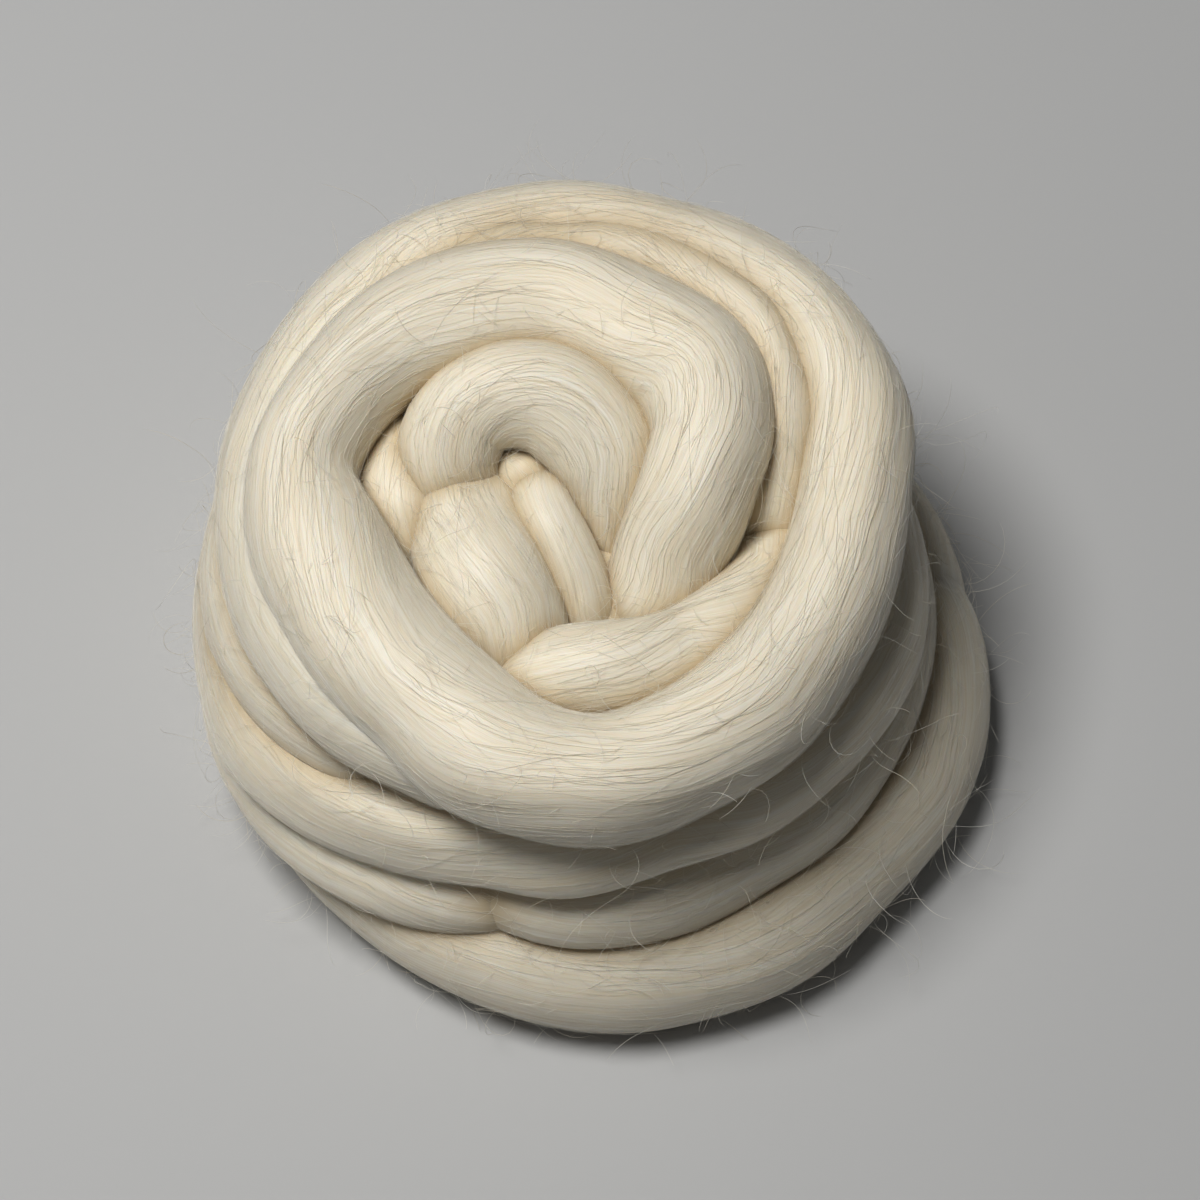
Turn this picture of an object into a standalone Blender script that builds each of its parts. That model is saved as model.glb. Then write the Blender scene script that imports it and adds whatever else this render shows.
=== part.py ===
"""Wool roving: one soft combed strand wound into a mound about four turns high.

The strand climbs out of the folds in the hollow, over the high arch at the
back, round the wide rim, and down through the lower turns to the surface.
All of it is one length of wool, so the model is one closed solid.

Sizes in the tables are millimetres and degrees; the mesh is metres, +Z up,
with the origin on the surface below the middle of the mound.
"""
import math
from collections import namedtuple

import bmesh
import bpy
import numpy as np

MM = 0.001
OBJECT_NAME = "wool_roving"
NODE_NAME = "roving_coil"

SECTION_STEP = 4.0        # spacing of the rings along a strand
RING_SIDES = 20           # points round a ring
END_RINGS = 4             # rings that round off each end of a strand
VOXEL_SIZE = 2.0          # cell of the skin that joins the strands
SMOOTH_PASSES = 4         # soften the joined skin before it is thinned
TIDY_PASSES = 2           # even out the thinned skin in the grooves
TRIANGLE_BUDGET = 9400
REST_DEPTH = 2.5          # how far the lowest turn is pressed flat
AXIS_PLACE = (-0.5, -0.3)  # the winding axis, from the middle of the footprint

CREAM = (0.74, 0.67, 0.54, 1.0)
WOOL_ROUGHNESS = 0.72

# A wound stretch: angle round the mound, distance from its axis, height of
# the strand's middle, its width, its thickness, and how far its outer side
# is tipped down.
Turn = namedtuple("Turn", "angle radius height width thick tip")

# A fold inside the hollow: the strand's middle, width, thickness and tip.
Fold = namedtuple("Fold", "x y z width thick tip")

TOP_TURN = [
    Turn(-69, 22, 32, 16, 12, 0),
    Turn(-60, 18, 43, 19, 14, 0),
    Turn(-50, 15, 52, 20, 16, 0),
    Turn(-33, 15, 60, 21, 18, 0),
    Turn(-8, 15, 67, 21, 19, 0),
    Turn(13, 19, 73, 21, 20, 0),
    Turn(26, 23, 76, 21, 20, 0),
    Turn(36, 28, 78, 22, 20, -4),
    Turn(55, 35, 79, 25, 21, -6),
    Turn(78, 40, 77, 27, 22, -8),
    Turn(97, 46, 76, 28, 23, -6),
    Turn(116, 50, 75, 28, 24, 0),
    Turn(134, 54, 74, 23, 25, 6),
    Turn(151, 56, 73, 19, 25, 10),
    Turn(166, 57, 71, 20, 26, 12),
    Turn(182, 53, 70, 25, 27, 14),
    Turn(201, 48, 69, 26, 27, 16),
    Turn(228, 46, 69, 25, 27, 14),
    Turn(250, 49, 68, 24, 27, 12),
    Turn(271, 50, 68, 23, 27, 10),
    Turn(294, 47, 68, 23, 27, 10),
    Turn(320, 45, 68, 23, 27, 8),
    Turn(345, 46, 69, 22, 26, 6),
    Turn(369, 50, 70, 20, 25, 6),
    Turn(386, 55, 71, 21, 25, 8),
    Turn(401, 58, 71, 20, 25, 8),
    Turn(415, 60, 71, 20, 25, 8),
    Turn(429, 61, 71, 21, 25, 8),
    Turn(443, 62, 71, 21, 25, 8),
    Turn(456, 64, 70, 22, 26, 8),
    Turn(470, 66, 69, 22, 27, 8),
    Turn(483, 67, 67, 23, 27, 12),
    Turn(496, 65, 65, 25, 27, 18),
    Turn(509, 63, 64, 26, 27, 24),
    Turn(521, 61, 63, 26, 27, 28),
    Turn(535, 59, 62, 26, 27, 30),
    Turn(548, 57, 61, 26, 26, 28),
    Turn(562, 54, 61, 25, 25, 24),
    Turn(577, 51, 61, 24, 24, 20),
    Turn(592, 49, 61, 22, 23, 16),
    Turn(612, 48, 60, 18, 20, 12),
]

SIDE_TURN = [
    Turn(130, 62, 56, 18, 20, 0),
    Turn(150, 65, 52, 20, 22, 0),
    Turn(170, 66, 49, 20, 22, 0),
    Turn(186, 65, 47, 20, 20, 0),
    Turn(200, 61, 47, 20, 19, 0),
    Turn(213, 56, 48, 19, 18, 0),
    Turn(228, 50, 49, 16, 15, 0),
]

SECOND_TURN = [
    Turn(120, 60, 46, 20, 20, 0),
    Turn(150, 65, 41, 21, 20, 0),
    Turn(175, 67, 38, 21, 19, 0),
    Turn(190, 67, 37, 21, 19, 0),
    Turn(205, 66, 37, 21, 19, 0),
    Turn(217, 62, 38, 21, 19, 0),
    Turn(232, 57, 41, 21, 19, 0),
    Turn(248, 53, 44, 21, 18, 0),
    Turn(263, 52, 46, 22, 18, 0),
    Turn(284, 49, 48, 22, 18, 0),
    Turn(305, 50, 49, 22, 18, 0),
    Turn(325, 51, 49, 22, 19, 0),
    Turn(347, 54, 47, 21, 21, 0),
    Turn(365, 54, 47, 21, 22, 0),
    Turn(381, 54, 46, 22, 23, 0),
    Turn(401, 58, 45, 22, 24, 0),
    Turn(420, 60, 44, 23, 24, 0),
    Turn(450, 62, 43, 24, 24, 0),
    Turn(480, 63, 42, 24, 24, 0),
    Turn(505, 63, 36, 22, 22, 0),
    Turn(526, 66, 29, 21, 20, 0),
    Turn(545, 68, 26, 20, 18, 0),
    Turn(560, 68, 25, 20, 18, 0),
    Turn(575, 66, 25, 20, 18, 0),
    Turn(592, 62, 26, 20, 18, 0),
    Turn(610, 57, 29, 19, 17, 0),
    Turn(624, 51, 33, 16, 14, 0),
]

THIRD_TURN = [
    Turn(238, 50, 28, 18, 16, 0),
    Turn(252, 54, 30, 21, 18, 0),
    Turn(265, 56, 30, 22, 18, 0),
    Turn(281, 55, 30, 22, 19, 0),
    Turn(299, 53, 30, 22, 20, 0),
    Turn(313, 54, 30, 22, 20, 0),
    Turn(330, 54, 30, 22, 20, 0),
    Turn(350, 55, 30, 22, 20, 0),
    Turn(370, 57, 28, 22, 20, 0),
    Turn(405, 60, 27, 22, 20, 0),
    Turn(450, 62, 27, 22, 20, 0),
    Turn(490, 63, 25, 21, 19, 0),
    Turn(515, 62, 22, 18, 16, 0),
    Turn(535, 56, 20, 14, 12, 0),
]

BASE_TURN = [
    Turn(-24, 50, 18, 15, 17, 0),
    Turn(-8, 57, 15, 20, 22, 0),
    Turn(8, 63, 13, 25, 26, 0),
    Turn(24, 64, 13, 27, 27, 0),
    Turn(45, 63, 13, 27, 27, 0),
    Turn(90, 63, 13, 27, 27, 0),
    Turn(135, 64, 13, 27, 27, 0),
    Turn(178, 64, 13, 28, 27, 0),
    Turn(200, 60, 13, 28, 27, 0),
    Turn(218, 59, 13, 28, 27, 0),
    Turn(241, 59, 13, 28, 27, 0),
    Turn(264, 61, 13, 28, 27, 0),
    Turn(285, 63, 13, 28, 27, 0),
    Turn(302, 64, 13, 28, 27, 0),
    Turn(319, 63, 13, 28, 27, 0),
    Turn(338, 65, 13, 28, 27, 0),
    Turn(352, 66, 13, 27, 27, 0),
    Turn(366, 65, 13, 26, 26, 0),
    Turn(382, 60, 15, 20, 22, 0),
    Turn(398, 52, 18, 14, 16, 0),
]

SECOND_STRAND = [
    Turn(5, 31, 46, 14, 14, 0),
    Turn(11, 33, 55, 17, 17, 0),
    Turn(18, 36, 62, 18, 19, 0),
    Turn(27, 40, 67, 18, 20, 0),
    Turn(34, 43, 70, 18, 21, 0),
    Turn(43, 48, 71, 18, 22, 0),
    Turn(51, 51, 72, 19, 22, 0),
    Turn(63, 53, 73, 19, 22, 0),
    Turn(76, 56, 73, 19, 22, 0),
    Turn(89, 58, 73, 19, 22, 0),
    Turn(103, 60, 72, 19, 22, 0),
    Turn(117, 61, 70, 19, 22, 0),
    Turn(131, 60, 67, 18, 22, 0),
    Turn(143, 58, 62, 15, 18, 0),
]

CURL = [
    Fold(7, -12, 42, 10, 9, 0),
    Fold(5, -5, 50, 13, 12, 0),
    Fold(5, 3, 59, 16, 14, 0),
    Fold(5, 9, 66, 19, 16, 0),
    Fold(3, 16, 72, 21, 17, 0),
    Fold(-2, 22, 75, 22, 18, 0),
    Fold(-10, 26, 77, 21, 18, 0),
    Fold(-18, 26, 77, 20, 18, 0),
    Fold(-24, 23, 75, 19, 17, 0),
    Fold(-27, 18, 71, 19, 16, 0),
    Fold(-26, 13, 65, 18, 15, 0),
    Fold(-22, 10, 56, 14, 12, 0),
]

MIDDLE_FOLD = [
    Fold(-14, 22, 56, 9, 11, 0),
    Fold(-11, 12, 64, 11, 13, 0),
    Fold(-9, 4, 69, 12, 14, 0),
    Fold(-6, -2, 68, 12, 13, 0),
    Fold(-3, -8, 64, 12, 12, 0),
    Fold(-1, -13, 58, 11, 11, 0),
    Fold(1, -18, 46, 8, 9, 0),
]

NUB = [
    Fold(-20, 22, 56, 10, 9, 0),
    Fold(-17, 18, 64, 12, 11, 0),
    Fold(-13, 14, 67, 12, 11, 0),
    Fold(-10, 10, 64, 11, 10, 0),
    Fold(-8, 8, 55, 9, 8, 0),
]

LEFT_FOLD = [
    Fold(-34, 36, 54, 15, 14, 0),
    Fold(-36, 27, 61, 18, 15, 0),
    Fold(-36, 17, 64, 20, 16, 0),
    Fold(-36, 9, 63, 20, 16, 0),
    Fold(-34, 2, 58, 18, 15, 0),
    Fold(-31, -4, 48, 14, 12, 0),
]

LEFT_LOBE = [
    Fold(-28, 22, 58, 17, 14, 0),
    Fold(-26, 13, 63, 21, 17, 0),
    Fold(-23, 3, 65, 23, 19, 0),
    Fold(-20, -7, 67, 24, 20, 0),
    Fold(-16, -15, 65, 21, 18, 0),
    Fold(-13, -20, 59, 17, 16, 0),
    Fold(-11, -23, 49, 13, 12, 0),
]

# Two beds of wool lie under the folds and close the bottom of the hollow.
LEFT_BED = [
    Fold(-38, 18, 46, 20, 12, 0),
    Fold(-24, 14, 55, 26, 14, 0),
    Fold(-8, 4, 57, 26, 15, 0),
    Fold(4, -9, 57, 24, 15, 0),
    Fold(16, -20, 50, 20, 12, 0),
]

RIGHT_BED = [
    Fold(36, 22, 48, 18, 14, 0),
    Fold(34, 10, 55, 22, 15, 0),
    Fold(30, -2, 56, 24, 15, 0),
    Fold(22, -14, 53, 22, 14, 0),
    Fold(10, -24, 46, 18, 12, 0),
]

LOWER_FOLD = [
    Fold(-15, -28, 48, 12, 12, 0),
    Fold(-12, -28, 59, 16, 15, 0),
    Fold(-6, -28, 66, 18, 17, 0),
    Fold(1, -28, 68, 18, 18, 0),
    Fold(9, -27, 68, 18, 18, 0),
    Fold(17, -24, 67, 18, 17, 0),
    Fold(25, -18, 66, 18, 17, 0),
    Fold(31, -10, 64, 17, 16, 0),
    Fold(35, -1, 60, 16, 15, 0),
    Fold(37, 9, 52, 14, 12, 0),
]

WOUND = {"top_turn": TOP_TURN, "side_turn": SIDE_TURN, "second_turn": SECOND_TURN,
         "third_turn": THIRD_TURN, "base_turn": BASE_TURN, "second_strand": SECOND_STRAND}
FOLDED = {"curl": CURL, "middle_fold": MIDDLE_FOLD, "nub": NUB, "left_fold": LEFT_FOLD,
          "left_lobe": LEFT_LOBE, "left_bed": LEFT_BED, "right_bed": RIGHT_BED,
          "lower_fold": LOWER_FOLD}

# The packed middle of the mound: height, and how far it spreads.
Tier = namedtuple("Tier", "height spread")
CORE_TIERS = [Tier(-4, 56), Tier(12, 56), Tier(28, 50), Tier(46, 44), Tier(60, 34), Tier(64, 26)]


def along_turns(rows):
    """Middle points, widths, thicknesses and tips of a wound stretch."""
    table = np.array(rows, float)
    angle = np.radians(table[:, 0])
    table[:, 0] = table[:, 1] * np.cos(angle)
    table[:, 1] = table[:, 1] * np.sin(angle)
    return table


def resample(table, step):
    """Smooth curve through the rows, read off at an even spacing."""
    gaps = np.linalg.norm(np.diff(table[:, :3], axis=0), axis=1)
    knots = np.concatenate([[0.0], np.cumsum(gaps)])
    slopes = np.gradient(table, knots, axis=0)
    places = np.linspace(0.0, knots[-1], max(6, int(knots[-1] / step)))
    row = np.clip(np.searchsorted(knots, places, "right") - 1, 0, len(gaps) - 1)
    span = gaps[row][:, None]
    t = ((places - knots[row]) / gaps[row])[:, None]
    start, end = table[row], table[row + 1]
    pull_out, pull_in = slopes[row] * span, slopes[row + 1] * span
    return ((2 * t**3 - 3 * t**2 + 1) * start + (t**3 - 2 * t**2 + t) * pull_out
            + (3 * t**2 - 2 * t**3) * end + (t**3 - t**2) * pull_in)


def frames(points):
    """Direction, outward side and upper side of the strand at each point."""
    ahead = np.gradient(points, axis=0)
    ahead /= np.linalg.norm(ahead, axis=1)[:, None]
    side = np.cross(ahead, [0.0, 0.0, 1.0])
    steep = np.linalg.norm(side, axis=1) < 0.3
    for i in np.flatnonzero(steep):
        nearest = np.flatnonzero(~steep)[np.argmin(abs(np.flatnonzero(~steep) - i))]
        side[i] = side[nearest] - ahead[i] * np.dot(side[nearest], ahead[i])
    side /= np.linalg.norm(side, axis=1)[:, None]
    return ahead, side, np.cross(side, ahead)


def strand(name, table):
    """Closed soft strand swept through a table of sections."""
    rows = resample(table, SECTION_STEP)
    points = rows[:, :3]
    ahead, side, upper = frames(points)
    rings = []
    for i, (point, row) in enumerate(zip(points, rows)):
        rings.append((point, side[i], upper[i], row[3] / 2, row[4] / 2, row[5]))
    first, last = rings[0], rings[-1]
    for k in range(1, END_RINGS + 1):
        share = math.cos(math.radians(90 * k / (END_RINGS + 0.5)))
        reach = math.sin(math.radians(90 * k / (END_RINGS + 0.5)))
        for near, way, place in ((first, -ahead[0], 0), (last, ahead[-1], len(rings))):
            middle = near[0] + way * reach * min(near[3], near[4])
            ring = (middle, near[1], near[2], near[3] * share, near[4] * share, near[5])
            rings.insert(place, ring)
    mesh = bmesh.new()
    loops = []
    for middle, out, up, half_width, half_thick, tip in rings:
        turn = math.radians(tip)
        across = out * math.cos(turn) - up * math.sin(turn)
        over = out * math.sin(turn) + up * math.cos(turn)
        loop = []
        for j in range(RING_SIDES):
            a = 2 * math.pi * j / RING_SIDES
            spot = middle + across * half_width * math.cos(a) + over * half_thick * math.sin(a)
            loop.append(mesh.verts.new(spot * MM))
        loops.append(loop)
    for a, b in zip(loops, loops[1:]):
        for j in range(RING_SIDES):
            k = (j + 1) % RING_SIDES
            mesh.faces.new((a[j], a[k], b[k], b[j]))
    mesh.faces.new(loops[0][::-1])
    mesh.faces.new(loops[-1])
    bmesh.ops.recalc_face_normals(mesh, faces=mesh.faces)
    data = bpy.data.meshes.new(name)
    mesh.to_mesh(data)
    mesh.free()
    return bpy.data.objects.new(name, data)


def core():
    """Packed wool that fills the mound behind its turns."""
    mesh = bmesh.new()
    loops = []
    for height, spread in CORE_TIERS:
        loop = []
        for j in range(RING_SIDES * 2):
            a = math.pi * j / RING_SIDES
            loop.append(mesh.verts.new((spread * MM * math.cos(a), spread * MM * math.sin(a),
                                        height * MM)))
        loops.append(loop)
    for a, b in zip(loops, loops[1:]):
        for j in range(RING_SIDES * 2):
            k = (j + 1) % (RING_SIDES * 2)
            mesh.faces.new((a[j], a[k], b[k], b[j]))
    mesh.faces.new(loops[0][::-1])
    mesh.faces.new(loops[-1])
    bmesh.ops.recalc_face_normals(mesh, faces=mesh.faces)
    data = bpy.data.meshes.new("core")
    mesh.to_mesh(data)
    mesh.free()
    return bpy.data.objects.new("core", data)


def wool():
    """Undyed cream wool."""
    material = bpy.data.materials.new("wool")
    material.use_nodes = True
    shader = material.node_tree.nodes["Principled BSDF"]
    shader.inputs["Base Color"].default_value = CREAM
    shader.inputs["Roughness"].default_value = WOOL_ROUGHNESS
    shader.inputs["Metallic"].default_value = 0.0
    return material


def evaluated_mesh(obj):
    """Mesh of an object with its modifiers worked out."""
    graph = bpy.context.evaluated_depsgraph_get()
    return bpy.data.meshes.new_from_object(obj.evaluated_get(graph))


def keep_largest_skin(mesh):
    """Drop the small closed skins round air pockets between the strands."""
    left = set(mesh.verts)
    groups = []
    while left:
        stack = [left.pop()]
        group = [stack[0]]
        while stack:
            for edge in stack.pop().link_edges:
                for vert in edge.verts:
                    if vert in left:
                        left.remove(vert)
                        group.append(vert)
                        stack.append(vert)
        groups.append(group)
    groups.sort(key=len)
    for group in groups[:-1]:
        bmesh.ops.delete(mesh, geom=group, context="VERTS")


def press_flat(mesh):
    """Cut the underside level, where the mound rests."""
    cut = bmesh.ops.bisect_plane(mesh, geom=mesh.verts[:] + mesh.edges[:] + mesh.faces[:],
                                 dist=1e-6, plane_co=(0, 0, 0), plane_no=(0, 0, 1),
                                 clear_inner=True)
    rim = [item for item in cut["geom_cut"] if isinstance(item, bmesh.types.BMEdge)]
    bmesh.ops.holes_fill(mesh, edges=rim, sides=0)
    bmesh.ops.triangulate(mesh, faces=mesh.faces)


def main():
    """Wind the strands, join them into one solid and press its base flat."""
    for obj in list(bpy.data.objects):
        bpy.data.objects.remove(obj)
    collection = bpy.data.collections.new(OBJECT_NAME)
    bpy.context.scene.collection.children.link(collection)
    pieces = [strand(name, along_turns(rows)) for name, rows in WOUND.items()]
    pieces += [strand(name, np.array(rows, float)) for name, rows in FOLDED.items()]
    pieces.append(core())
    whole = bmesh.new()
    for piece in pieces:
        whole.from_mesh(piece.data)
    data = bpy.data.meshes.new("joined")
    shift = (AXIS_PLACE[0] * MM, AXIS_PLACE[1] * MM, -REST_DEPTH * MM)
    bmesh.ops.translate(whole, verts=whole.verts, vec=shift)
    whole.to_mesh(data)
    whole.free()
    for piece in pieces:
        bpy.data.objects.remove(piece)
    joined = bpy.data.objects.new("joined", data)
    collection.objects.link(joined)
    skin = joined.modifiers.new("skin", "REMESH")
    skin.mode = "VOXEL"
    skin.voxel_size = VOXEL_SIZE * MM
    soften = joined.modifiers.new("soften", "SMOOTH")
    soften.iterations = SMOOTH_PASSES
    bpy.context.view_layer.update()
    dense = evaluated_mesh(joined)
    bpy.data.objects.remove(joined)
    mesh = bmesh.new()
    mesh.from_mesh(dense)
    keep_largest_skin(mesh)
    bmesh.ops.triangulate(mesh, faces=mesh.faces)
    share = TRIANGLE_BUDGET / len(mesh.faces)
    mesh.to_mesh(dense)
    mesh.free()
    roving = bpy.data.objects.new(NODE_NAME, dense)
    collection.objects.link(roving)
    thin = roving.modifiers.new("thin", "DECIMATE")
    thin.ratio = share
    tidy = roving.modifiers.new("tidy", "SMOOTH")
    tidy.iterations = TIDY_PASSES
    bpy.context.view_layer.update()
    coarse = evaluated_mesh(roving)
    roving.modifiers.clear()
    mesh = bmesh.new()
    mesh.from_mesh(coarse)
    press_flat(mesh)
    bmesh.ops.recalc_face_normals(mesh, faces=mesh.faces)
    mesh.to_mesh(coarse)
    mesh.free()
    coarse.name = NODE_NAME
    coarse.shade_smooth()
    coarse.materials.append(wool())
    roving.data = coarse


main()
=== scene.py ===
"""Wool roving: one soft combed strand wound into a mound about four turns high.

The strand leaves the folded loops in the hollow, climbs the high arch at the
back, runs round the wide rim and winds down to the surface. Every stretch is
swept along its own table of sections, furrowed by its locks, and covered with
combed fibres that follow it; loose hairs stand off the outside.

Tables are in millimetres and degrees. Meshes are in metres, +Z up.
"""
from __future__ import annotations

import logging
import math
from dataclasses import dataclass, field
from enum import Enum
from typing import NamedTuple

import bpy
import numpy as np
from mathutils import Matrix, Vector
from mathutils.bvhtree import BVHTree

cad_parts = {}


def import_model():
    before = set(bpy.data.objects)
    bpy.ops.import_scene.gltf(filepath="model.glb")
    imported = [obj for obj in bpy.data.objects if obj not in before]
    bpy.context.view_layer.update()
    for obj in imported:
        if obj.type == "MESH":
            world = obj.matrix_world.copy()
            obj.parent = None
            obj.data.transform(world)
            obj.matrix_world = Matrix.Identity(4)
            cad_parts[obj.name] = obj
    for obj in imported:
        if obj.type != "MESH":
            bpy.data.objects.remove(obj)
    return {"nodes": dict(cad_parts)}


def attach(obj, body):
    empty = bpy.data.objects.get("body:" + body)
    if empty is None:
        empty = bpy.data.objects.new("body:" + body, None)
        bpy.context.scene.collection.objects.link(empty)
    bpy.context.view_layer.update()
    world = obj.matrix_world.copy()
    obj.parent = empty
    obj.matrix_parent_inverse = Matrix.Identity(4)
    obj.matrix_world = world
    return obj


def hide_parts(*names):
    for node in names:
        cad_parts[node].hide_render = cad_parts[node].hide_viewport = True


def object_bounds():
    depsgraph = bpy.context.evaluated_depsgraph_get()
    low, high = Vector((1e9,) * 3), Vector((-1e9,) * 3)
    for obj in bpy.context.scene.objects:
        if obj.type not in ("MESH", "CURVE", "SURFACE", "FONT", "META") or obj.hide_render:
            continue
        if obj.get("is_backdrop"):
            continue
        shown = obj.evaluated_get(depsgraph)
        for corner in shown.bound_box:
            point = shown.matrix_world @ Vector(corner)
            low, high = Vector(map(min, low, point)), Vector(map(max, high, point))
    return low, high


log = logging.getLogger("wool_roving")

MM = 0.001
BODY = "root"
NODE = "roving_coil"

AXIS_PLACE = (-0.5, -0.3)   # the winding axis, from the middle of the footprint
REST_DEPTH = 2.5            # how far the lowest turn is pressed flat
FLOOR_GAP = 0.05            # lowest that any wool reaches above the surface
GRID_STEP = 0.5             # spacing of the stored sections along a strand
UV_UNIT = 100.0             # millimetres of wool to one unit of the UV map
FOLD_SHADE_REACH = 5.0            # how far from a neighbour the painted shade of a fold starts to darken the colour
CREASE_ROUND = 0.2          # how soft the bottom of a furrow is
CREASE_LEVEL = 0.45         # level of a furrow's grid that leaves the skin unmoved
NOISE_ROWS = 64             # random rows along a strand before they repeat
NOISE_START = 8.0           # row at which a strand starts
LEVEL_ENOUGH = 0.3          # level share of the heading needed to set a strand's sides there
END_INSET = 0.15            # gap between a strand's tip and its first ring
SEAM = -math.pi / 2         # angle of the UV map's seam, on the underside
FAR = 100.0                 # distance given where nothing is near
HAIR_SIDES = 3              # sides of a hair's tube
HAIR_GUIDE = (0.31, -0.17, 0.93)   # a direction that few hairs follow


class Turn(NamedTuple):
    """A section of a wound stretch, placed round the winding axis."""

    angle: float
    radius: float
    height: float
    width: float
    thick: float
    tip: float


class Fold(NamedTuple):
    """A section of a folded loop in the hollow."""

    x: float
    y: float
    z: float
    width: float
    thick: float
    tip: float


class Octave(NamedTuple):
    """One size of furrow: locks round the strand, their run and their depth."""

    locks: int
    run: float
    depth: float


class Attribute(Enum):
    """Names of the values stored on the meshes for the finishes to read."""

    STRAND_MAP = "strand_map"
    # painted shade: how deep a point lies in a crease, read to paint warm shade there
    PAINTED_FOLD_SHADE = "fold"
    SHADE = "shade"


TOP_TURN = [
    Turn(-69, 22, 32, 16, 12, 0),
    Turn(-60, 18, 43, 19, 14, 0),
    Turn(-50, 15, 52, 20, 16, 0),
    Turn(-33, 15, 60, 21, 18, 0),
    Turn(-8, 15, 67, 21, 19, 0),
    Turn(13, 19, 73, 21, 20, 0),
    Turn(26, 23, 76, 21, 20, 0),
    Turn(36, 28, 78, 22, 20, -4),
    Turn(55, 35, 79, 25, 21, -6),
    Turn(78, 40, 77, 27, 22, -8),
    Turn(97, 46, 76, 28, 23, -6),
    Turn(116, 50, 75, 28, 24, 0),
    Turn(134, 54, 74, 23, 25, 6),
    Turn(151, 56, 73, 19, 25, 10),
    Turn(166, 57, 71, 20, 26, 12),
    Turn(182, 53, 70, 25, 27, 14),
    Turn(201, 48, 69, 26, 27, 16),
    Turn(228, 46, 69, 25, 27, 14),
    Turn(250, 49, 68, 24, 27, 12),
    Turn(271, 50, 68, 23, 27, 10),
    Turn(294, 47, 68, 23, 27, 10),
    Turn(320, 45, 68, 23, 27, 8),
    Turn(345, 46, 69, 22, 26, 6),
    Turn(369, 50, 70, 20, 25, 6),
    Turn(386, 55, 71, 21, 25, 8),
    Turn(401, 58, 71, 20, 25, 8),
    Turn(415, 60, 71, 20, 25, 8),
    Turn(429, 61, 71, 21, 25, 8),
    Turn(443, 62, 71, 21, 25, 8),
    Turn(456, 64, 70, 22, 26, 8),
    Turn(470, 66, 69, 22, 27, 8),
    Turn(483, 67, 67, 23, 27, 12),
    Turn(496, 65, 65, 25, 27, 18),
    Turn(509, 63, 64, 26, 27, 24),
    Turn(521, 61, 63, 26, 27, 28),
    Turn(535, 59, 62, 26, 27, 30),
    Turn(548, 57, 61, 26, 26, 28),
    Turn(562, 54, 61, 25, 25, 24),
    Turn(577, 51, 61, 24, 24, 20),
    Turn(592, 49, 61, 22, 23, 16),
    Turn(612, 48, 60, 18, 20, 12),
]

SIDE_TURN = [
    Turn(130, 62, 56, 18, 20, 0),
    Turn(150, 65, 52, 20, 22, 0),
    Turn(170, 66, 49, 20, 22, 0),
    Turn(186, 65, 47, 20, 20, 0),
    Turn(200, 61, 47, 20, 19, 0),
    Turn(213, 56, 48, 19, 18, 0),
    Turn(228, 50, 49, 16, 15, 0),
]

SECOND_TURN = [
    Turn(120, 60, 46, 20, 20, 0),
    Turn(150, 65, 41, 21, 20, 0),
    Turn(175, 67, 38, 21, 19, 0),
    Turn(190, 67, 37, 21, 19, 0),
    Turn(205, 66, 37, 21, 19, 0),
    Turn(217, 62, 38, 21, 19, 0),
    Turn(232, 57, 41, 21, 19, 0),
    Turn(248, 53, 44, 21, 18, 0),
    Turn(263, 52, 46, 22, 18, 0),
    Turn(284, 49, 48, 22, 18, 0),
    Turn(305, 50, 49, 22, 18, 0),
    Turn(325, 51, 49, 22, 19, 0),
    Turn(347, 54, 47, 21, 21, 0),
    Turn(365, 54, 47, 21, 22, 0),
    Turn(381, 54, 46, 22, 23, 0),
    Turn(401, 58, 45, 22, 24, 0),
    Turn(420, 60, 44, 23, 24, 0),
    Turn(450, 62, 43, 24, 24, 0),
    Turn(480, 63, 42, 24, 24, 0),
    Turn(505, 63, 36, 22, 22, 0),
    Turn(526, 66, 29, 21, 20, 0),
    Turn(545, 68, 26, 20, 18, 0),
    Turn(560, 68, 25, 20, 18, 0),
    Turn(575, 66, 25, 20, 18, 0),
    Turn(592, 62, 26, 20, 18, 0),
    Turn(610, 57, 29, 19, 17, 0),
    Turn(624, 51, 33, 16, 14, 0),
]

THIRD_TURN = [
    Turn(238, 50, 28, 18, 16, 0),
    Turn(252, 54, 30, 21, 18, 0),
    Turn(265, 56, 30, 22, 18, 0),
    Turn(281, 55, 30, 22, 19, 0),
    Turn(299, 53, 30, 22, 20, 0),
    Turn(313, 54, 30, 22, 20, 0),
    Turn(330, 54, 30, 22, 20, 0),
    Turn(350, 55, 30, 22, 20, 0),
    Turn(370, 57, 28, 22, 20, 0),
    Turn(405, 60, 27, 22, 20, 0),
    Turn(450, 62, 27, 22, 20, 0),
    Turn(490, 63, 25, 21, 19, 0),
    Turn(515, 62, 22, 18, 16, 0),
    Turn(535, 56, 20, 14, 12, 0),
]

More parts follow.
